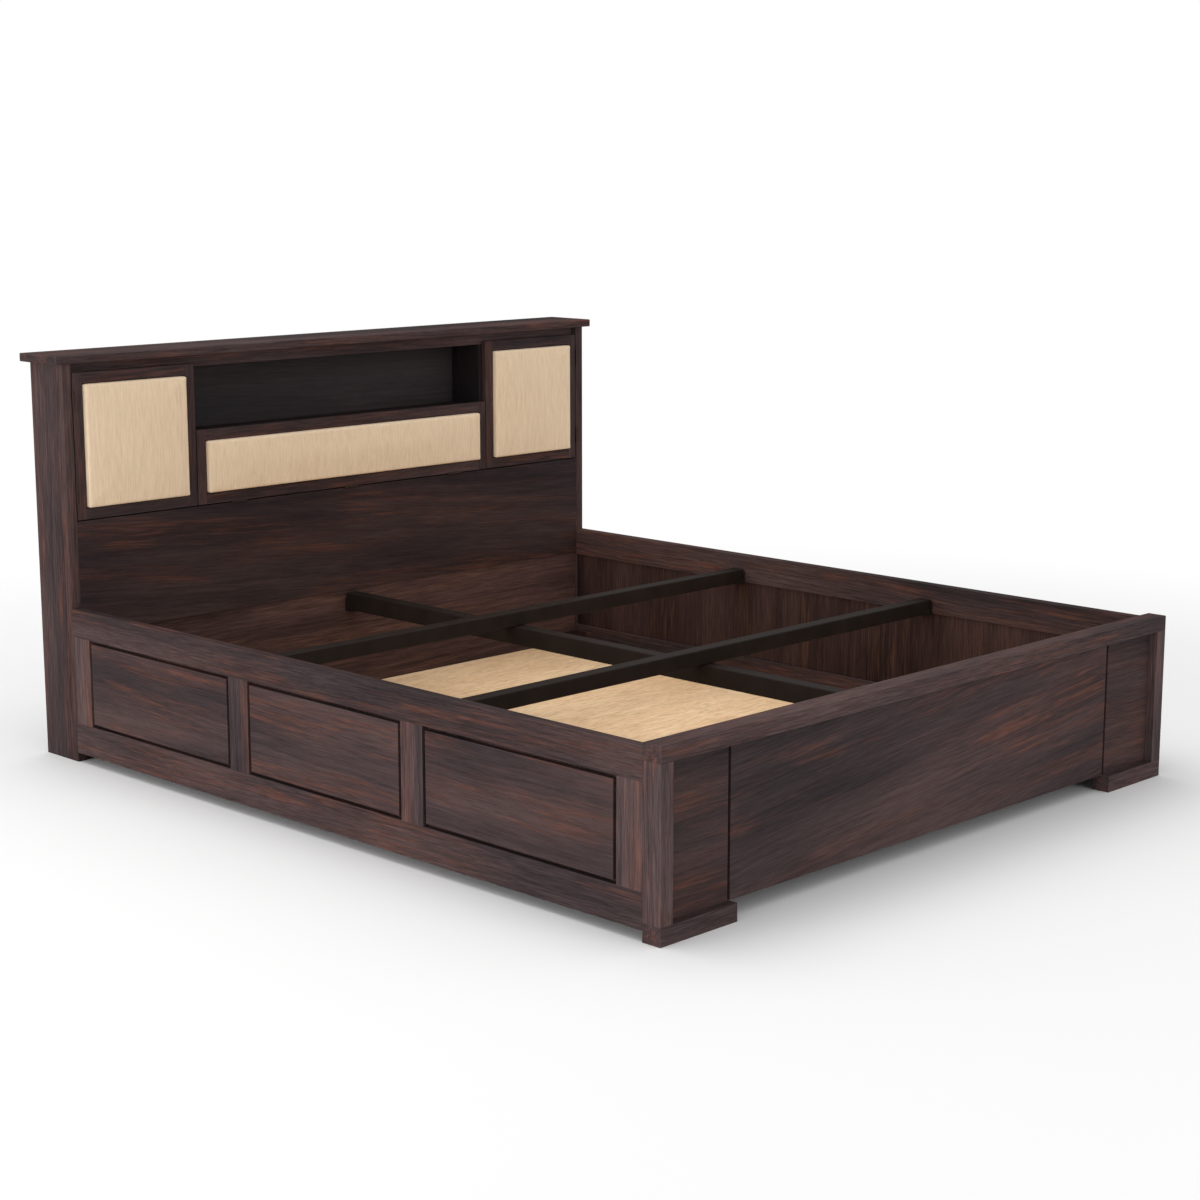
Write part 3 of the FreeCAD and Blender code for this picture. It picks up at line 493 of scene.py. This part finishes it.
def powder_coat(name, color):
    """Dark powder coat: orange peel, a little dust and small scuffs."""
    material, shader, start = new_finish(name)
    place = start.node("ShaderNodeTexCoord", out="Object")
    peel = place.noise(scale=900.0, detail=1)
    dust = place.noise(scale=14.0, detail=4, roughness=0.65)
    scuff = place.stretched(1.0, 1.0, 6.0).noise(scale=60.0, detail=2).between(0.66, 0.74)
    shade = dust.ramp((0.35, color), (0.75, [channel * 1.6 for channel in color]))
    start.fill(shader, {"Base Color": shade.mixed((0.040, 0.036, 0.032, 1), scuff * 0.20),
                        "Roughness": 0.54 + dust * 0.14 - scuff * 0.08,
                        "Normal": peel.bump(0.25, 0.0003),
                        "Specular IOR Level": 0.0,
                        "Coat Weight": 0.21 - dust * 0.12,
                        "Coat Roughness": 0.45})
    return material


def finished_node(node, finish):
    """Leave a CAD node in place and give it a finish."""
    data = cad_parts[node].data
    data.materials.clear()
    data.materials.append(finish)


def settled(piece):
    """The piece's mesh with its modifiers worked in."""
    graph = bpy.context.evaluated_depsgraph_get()
    return bpy.data.meshes.new_from_object(piece.evaluated_get(graph))


SHARP_FROM = math.radians(40)


def softened(mesh, ease, sunk=None):
    """A mesh of solids after their recesses are sunk into them and their edges softened."""
    piece = put_up("blank", mesh)
    if sunk is not None:
        cutter = put_up("cutter", sunk)
        sinking = piece.modifiers.new("sinking", "BOOLEAN")
        sinking.object = cutter
    easing = piece.modifiers.new("easing", "BEVEL")
    easing.width = ease
    easing.segments = 2
    easing.limit_method = "ANGLE"
    easing.angle_limit = SHARP_FROM
    shaped = bmesh.new()
    shaped.from_mesh(settled(piece))
    bpy.data.objects.remove(piece)
    if sunk is not None:
        bpy.data.objects.remove(cutter)
    return shaped


def eased_metal(node, body, slot, finish, ease):
    """A CAD node's metal with softened edges, in its place."""
    finished_piece(put_up(f"{node}_eased", softened(merged(node), ease)), finish, body, slot, node)


SADDLE_EASE = 0.0006
black_coat = powder_coat("black_powder_coat", (0.0142, 0.0102, 0.0087))
for node in ("cross_beam_foot", "cross_beam_head", "center_beam"):
    finished_node(node, black_coat)
eased_metal("beam_saddles", "frame", "black_steel", black_coat, SADDLE_EASE)

# Saddle screws: countersunk steel screws in the same black coat, driven through
# the saddles' back plates into the wood with a cross bit, behind the beams' ends.

SCREW_WIDEST = 0.020
ROUND_WITHIN = 0.03


def screw_axis(points):
    """The axis that a small turned solid is turned about, or None for any other solid."""
    size = np.ptp(points, axis=0)
    for axis in (X, Y, Z):
        wide, tall = np.delete(size, axis)
        if wide < SCREW_WIDEST and abs(wide - tall) < ROUND_WITHIN * wide:
            return axis
    return None


def sort_out(mesh, screws):
    """Keep only the screws of a mesh, or only the rest of it."""
    dropped = []
    for island in islands(mesh):
        turned = screw_axis(np.array([vert.co for vert in island])) is not None
        if turned != screws:
            dropped.extend(island)
    bmesh.ops.delete(mesh, geom=dropped, context="VERTS")
    return mesh


HEAD_ROOM = 0.0005
BIT_DEPTH = 0.32
END_WITHIN = 1e-5


def driver_recesses(node, bit):
    """A mesh of the recesses in the heads of a node's screws, each left at a chance turn."""
    draw = random.Random(node)
    mesh = bmesh.new()
    for points in solids_of(node):
        axis = screw_axis(points)
        if axis is None:
            continue
        across = [number for number in (X, Y, Z) if number != axis]
        low, high = points.min(axis=0), points.max(axis=0)
        middle = (low + high) / 2
        off = np.linalg.norm((points - middle)[:, across], axis=1)
        at_high = points[:, axis] > high[axis] - END_WITHIN
        at_low = points[:, axis] < low[axis] + END_WITHIN
        way = 1 if off[at_high].max() > off[at_low].max() else -1
        face = high[axis] if way > 0 else low[axis]
        radius = off.max()
        turn = draw.uniform(0, math.pi)
        cos, sin = math.cos(turn), math.sin(turn)
        outline = [(middle[across[0]] + radius * (x * cos - y * sin),
                    middle[across[1]] + radius * (x * sin + y * cos)) for x, y in bit]
        ends = (face + way * HEAD_ROOM, face - way * BIT_DEPTH * radius)
        extruded(mesh, outline, axis, *sorted(ends))
    return mesh


def screwed_metal(node, body, slot, finish, ease, bit):
    """A CAD node's metal with softened edges, in its place, and a bit's recess in each screw."""
    plates = softened(sort_out(merged(node), screws=False), ease)
    screws = softened(sort_out(merged(node), screws=True), ease, driver_recesses(node, bit))
    loose = put_up("screws", screws)
    plates.from_mesh(loose.data)
    bpy.data.objects.remove(loose)
    finished_piece(put_up(f"{node}_eased", plates), finish, body, slot, node)


SCREW_EASE = 0.0004
WING, HALF = 0.58, 0.15
CROSS_BIT = ((WING, -HALF), (WING, HALF), (HALF, HALF), (HALF, WING), (-HALF, WING), (-HALF, HALF),
             (-WING, HALF), (-WING, -HALF), (-HALF, -HALF), (-HALF, -WING), (HALF, -WING), (HALF, -HALF))
screwed_metal("saddle_screws", "frame", "black_steel", black_coat, SCREW_EASE, CROSS_BIT)

# Corner angles and bolts: bent steel angles in the lower corners of the box,
# coated blackish brown to go with the wood and held by bolts with hex sockets.

ANGLE_EASE = 0.0008
BOLT_EASE = 0.0005
SOCKET = 0.5
SIXTHS = [math.radians(60 * number) for number in range(6)]
HEX_BIT = [(SOCKET * math.cos(turn), SOCKET * math.sin(turn)) for turn in SIXTHS]
brown_coat = powder_coat("brown_powder_coat", (0.0260, 0.0150, 0.0130))
eased_metal("corner_angles", "frame", "black_steel", brown_coat, ANGLE_EASE)
screwed_metal("corner_bolts", "frame", "black_steel", brown_coat, BOLT_EASE, HEX_BIT)

# Door and flap frames: two stiles with two rails between them, glued up from
# the same stained wood, and a thin backing sheet let in from behind.

DOOR_EASE = 0.0011
DOOR_BACK_EASE = 0.0004
FRONTS = ("left_door", "right_door", "center_flap")
for seed, body in zip((80, 84, 88), FRONTS):
    sawn_boards(f"{body}_stiles", Z, DOOR_EASE, "dark_wood", frame_wood, seed, body)
    sawn_boards(f"{body}_rails", X, DOOR_EASE, "dark_wood", frame_wood, seed + 1, body)
    sawn_boards(f"{body}_backing", X, DOOR_BACK_EASE, "inner_wood", inner_wood, seed + 2, body)

# Pads: a block of firm foam on each backing under a tight cream cloth with an
# upright slub. The cloth is drawn round the foam and stapled behind, so the
# front swells a little and the edges stay firm.

THREAD_PAIR = 0.0030
THREADS = 2 * math.pi / THREAD_PAIR


def slub_cloth(name, pale, warm, shadow):
    """Woven cloth with an upright slub: uneven warp threads over a fine weft."""
    material, shader, start = new_finish(name)
    place = start.node("ShaderNodeTexCoord", out="Object")
    slub = place.stretched(270.0, 270.0, 17.0).noise(detail=3, roughness=0.6)
    wide_slub = place.stretched(60.0, 60.0, 2.2).noise(detail=2)
    warp = place.stretched(1150.0, 1150.0, 90.0).noise(detail=1)
    weft = place.stretched(120.0, 120.0, 1400.0).noise(detail=1)
    cloud = place.noise(scale=9.0, detail=3)
    drift = place.noise(scale=70.0, detail=2) * 0.002
    across = place.axis("X") + drift
    upward = place.axis("Z") + drift
    weave = start.math("SINE", across * THREADS) * start.math("SINE", upward * THREADS)
    blend = slub * 0.82 + wide_slub * 0.18
    color = blend.ramp((0.36, shadow), (0.50, warm), (0.64, pale))
    thread = 0.86 + warp * 0.18 + weft * 0.08 + weave * 0.07 + (cloud - 0.5) * 0.05
    height = slub * 0.5 + warp * 0.5 + weft * 0.3 + weave * 0.6
    start.fill(shader, {"Base Color": color.dimmed(thread),
                        "Roughness": 0.86 + warp * 0.10,
                        "Normal": height.bump(0.35, 0.0006),
                        "Sheen Weight": 0.08,
                        "Sheen Roughness": 0.5})
    return material


cream_cloth = slub_cloth("cream_slub_cloth", pale=(0.785, 0.613, 0.435), warm=(0.738, 0.570, 0.398),
                         shadow=(0.675, 0.512, 0.348))
PAD_VOXEL = 0.0040
PAD_SLACK = 0.0010
PAD_SWELL = 0.0040
HELD_PROUD = 0.0015
AIR_PRESSURE = 4.0
SIM_FRAMES = 20


def upholstered_pad(node, body, frame_node):
    """Swell a remeshed copy of the CAD pad by air pressure, held fast inside its frame."""
    pad_low, pad_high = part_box(node)
    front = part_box(frame_node)[0][Y]
    middle = (pad_low + pad_high) / 2
    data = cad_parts[node].data.copy()
    for vert in data.vertices:
        for axis in (X, Z):
            vert.co[axis] -= PAD_SLACK * (1 if vert.co[axis] > middle[axis] else -1)
        if vert.co[Y] < front:
            vert.co[Y] += PAD_SLACK
    pad = bpy.data.objects.new(f"{body}_cushion", data)
    bpy.context.scene.collection.objects.link(pad)
    voxels = pad.modifiers.new("voxels", "REMESH")
    voxels.mode = "VOXEL"
    voxels.voxel_size = PAD_VOXEL
    pad.data = settled(pad)
    pad.modifiers.clear()

    rest = np.array([vert.co for vert in pad.data.vertices])
    inside = np.flatnonzero(rest[:, Y] > front - HELD_PROUD)
    held = pad.vertex_groups.new(name="held")
    held.add(inside.tolist(), 1.0, "REPLACE")
    cloth = pad.modifiers.new("swell", "CLOTH")
    cloth.settings.vertex_group_mass = "held"
    cloth.settings.use_pressure = True
    cloth.settings.uniform_pressure_force = AIR_PRESSURE
    cloth.settings.effector_weights.gravity = 0.0
    for number in range(1, SIM_FRAMES + 1):
        bpy.context.scene.frame_set(number)
    swollen = np.array([vert.co for vert in settled(pad).vertices])
    pad.modifiers.clear()
    pad.vertex_groups.clear()
    bpy.context.scene.frame_set(1)
    moved = swollen - rest
    furthest = np.linalg.norm(moved, axis=1).max()
    shape = rest + moved * min(1.0, PAD_SWELL / furthest)
    pad.data.vertices.foreach_set("co", shape.astype(np.float32).ravel())
    pad.data.shade_smooth()
    pad.data.materials.clear()
    pad.data.materials.append(cream_cloth)
    smooth = pad.modifiers.new("smooth", "SUBSURF")
    smooth.levels = smooth.render_levels = 1
    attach(pad, body)
    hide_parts(node)


for body in FRONTS:
    upholstered_pad(f"{body}_pad", body, f"{body}_stiles")

# Hinges: slim butt hinges in dark bronze, two at each door and three under
# the flap. The leaves lie in the gap and the thin barrel stands before it.


def plated_steel(name, color, rough):
    """Plated or plain steel: faint mottling, brushing and dull patches."""
    material, shader, start = new_finish(name)
    place = start.node("ShaderNodeTexCoord", out="Object")
    mottle = place.noise(scale=160.0, detail=3)
    brushed = place.stretched(300.0, 300.0, 2600.0).noise(detail=1)
    shade = mottle.ramp((0.30, [channel * 0.72 for channel in color]), (0.72, color))
    start.fill(shader, {"Base Color": shade,
                        "Roughness": rough + mottle * 0.16,
                        "Normal": brushed.bump(0.12, 0.0002),
                        "Metallic": 1.0})
    return material


LEAF_EASE = 0.0002
bronze = plated_steel("dark_bronze", (0.052, 0.034, 0.024), 0.38)
screwed_metal("case_hinge_leaves", "frame", "bronze_hinge", bronze, LEAF_EASE, CROSS_BIT)
for body in FRONTS:
    screwed_metal(f"{body}_hinge_leaves", body, "bronze_hinge", bronze, LEAF_EASE, CROSS_BIT)
eased_metal("hinge_pins", "frame", "bronze_hinge", bronze, LEAF_EASE)

# Magnetic catches: moulded brown housings screwed to the partitions and
# under the niche shelf, with a thin steel strike on each door and the flap.


def moulded_plastic(name, color):
    """Fine-grained moulded plastic."""
    material, shader, start = new_finish(name)
    place = start.node("ShaderNodeTexCoord", out="Object")
    grain = place.noise(scale=1800.0, detail=2)
    tint = place.noise(scale=60.0, detail=2)
    shade = tint.ramp((0.3, color), (0.8, [channel * 1.4 for channel in color]))
    start.fill(shader, {"Base Color": shade,
                        "Roughness": 0.48 + grain * 0.18,
                        "Normal": grain.bump(0.3, 0.0002)})
    return material


HOUSING_EASE = 0.0010
POLE_EASE = 0.0002
STRIKE_EASE = 0.0003
POLE_LENGTH, POLE_THICK, POLE_DEEP, POLE_APART = 0.030, 0.0014, 0.0030, 0.0060
POLE_BACK = 0.0002
brown_plastic = moulded_plastic("brown_plastic", (0.022, 0.013, 0.010))
strike_steel = plated_steel("plain_steel", (0.50, 0.50, 0.50), 0.34)
slots, poles = bmesh.new(), bmesh.new()
for low, high in boxes_of("magnetic_catches"):
    middle = (low + high) / 2
    long, short = (X, Z) if high[X] - low[X] > high[Z] - low[Z] else (Z, X)
    for side in (-1, 1):
        near, end = middle.copy(), middle.copy()
        near[long] -= POLE_LENGTH / 2
        end[long] += POLE_LENGTH / 2
        near[short] += side * POLE_APART / 2 - POLE_THICK / 2
        end[short] += side * POLE_APART / 2 + POLE_THICK / 2
        outline = oblong(near, end, Y)
        extruded(slots, outline, Y, low[Y] - POLE_BACK, low[Y] + POLE_DEEP)
        extruded(poles, outline, Y, low[Y] + POLE_BACK, low[Y] + POLE_DEEP)
housings = softened(merged("magnetic_catches"), HOUSING_EASE, slots)
finished_piece(put_up("magnetic_catch_housings", housings), brown_plastic, "frame", "catch_plastic",
               "magnetic_catches")
finished_piece(put_up("magnetic_catch_poles", softened(poles, POLE_EASE)), strike_steel, "frame",
               "strike_steel")
for body in FRONTS:
    eased_metal(f"{body}_strike", body, "strike_steel", strike_steel, STRIKE_EASE)

# Studio: a pale floor that fades to white, soft boxes above, to the left and
# in front, and a camera at the photograph's angle.


def looked_at(start):
    """1 where the camera looks, straight, by a reflection or through glass, and 0 for other rays."""
    camera = start.node("ShaderNodeLightPath", out="Is Camera Ray")
    gloss = start.node("ShaderNodeLightPath", out="Is Glossy Ray")
    glass = start.node("ShaderNodeLightPath", out="Is Transmission Ray")
    return camera + gloss + glass


FLOOR_REACH = 40.0
FADE_FROM, FADE_TO = 1.8, 3.8
floor_data = bpy.data.meshes.new("floor")
floor_corners = [(FLOOR_REACH * x, FLOOR_REACH * y, 0) for x, y in ((-1, -1), (1, -1), (1, 1), (-1, 1))]
floor_data.from_pydata(floor_corners, [], [(0, 1, 2, 3)])
floor = bpy.data.objects.new("floor", floor_data)
bpy.context.scene.collection.objects.link(floor)
floor_paint, floor_shader, start = new_finish("pale_floor")
start.fill(floor_shader, {"Base Color": (0.885, 0.885, 0.885, 1), "Roughness": 0.85,
                          "Specular IOR Level": 0.1})
place = start.node("ShaderNodeTexCoord", out="Object")
away = start.node("ShaderNodeVectorMath", {0: place}, out="Value", operation="LENGTH")
far = away.between(FADE_FROM, FADE_TO) * looked_at(start)
painted = Shade(start.tree, floor_shader.outputs[0])
white = start.node("ShaderNodeEmission", {"Color": (1, 1, 1, 1), "Strength": 1.0})
blended = start.node("ShaderNodeMixShader", {0: far, 1: painted, 2: white})
start.fill(start.tree.nodes["Material Output"], {"Surface": blended})
floor_data.materials.append(floor_paint)

SKY_LIGHT = 0.72
world = bpy.data.worlds.new("studio")
bpy.context.scene.world = world
world.use_nodes = True
sky = Shade(world.node_tree)
sky.fill(world.node_tree.nodes["Background"],
         {"Color": (1, 1, 1, 1), "Strength": SKY_LIGHT + looked_at(sky) * (1 - SKY_LIGHT)})


def soft_light(name, place, aim, wide, high, power):
    """A large rectangular soft box, aimed at a point."""
    lamp = bpy.data.lights.new(name, "AREA")
    lamp.shape = "RECTANGLE"
    lamp.size, lamp.size_y = wide, high
    lamp.energy = power
    light = bpy.data.objects.new(name, lamp)
    light.location = place
    light.rotation_mode = "QUATERNION"
    light.rotation_quaternion = (Vector(aim) - Vector(place)).to_track_quat("-Z", "Y")
    bpy.context.scene.collection.objects.link(light)


soft_light("overhead", place=(-0.8, 0.8, 5.0), aim=(0, 0, 0.3), wide=4.0, high=4.0, power=105)
soft_light("left_window", place=(-8.0, 0.2, 1.5), aim=(0, 0, 0.5), wide=5.0, high=2.6, power=245)
soft_light("front_fill", place=(0.5, -8.0, 2.4), aim=(0, 0, 0.6), wide=4.0, high=3.0, power=95)

CAMERA_PLACE = (-4.2683, -4.24785, 1.5900)
YAW, PITCH = 0.7933, 0.1911
LENS_PIXELS, FRAME_PIXELS = 2336.93, 1200
SENSOR = 36.0
SHIFT_X, SHIFT_Y = -0.00296, 0.00507
camera_data = bpy.data.cameras.new("camera")
camera_data.sensor_width = SENSOR
camera_data.lens = SENSOR * LENS_PIXELS / FRAME_PIXELS
camera_data.shift_x = SHIFT_X
camera_data.shift_y = SHIFT_Y
camera = bpy.data.objects.new("camera", camera_data)
camera.location = CAMERA_PLACE
camera.rotation_mode = "QUATERNION"
ahead = Vector((math.sin(YAW) * math.cos(PITCH), math.cos(YAW) * math.cos(PITCH), -math.sin(PITCH)))
camera.rotation_quaternion = ahead.to_track_quat("-Z", "Y")
bpy.context.scene.collection.objects.link(camera)
bpy.context.scene.camera = camera
bpy.context.scene.view_settings.view_transform = "Standard"
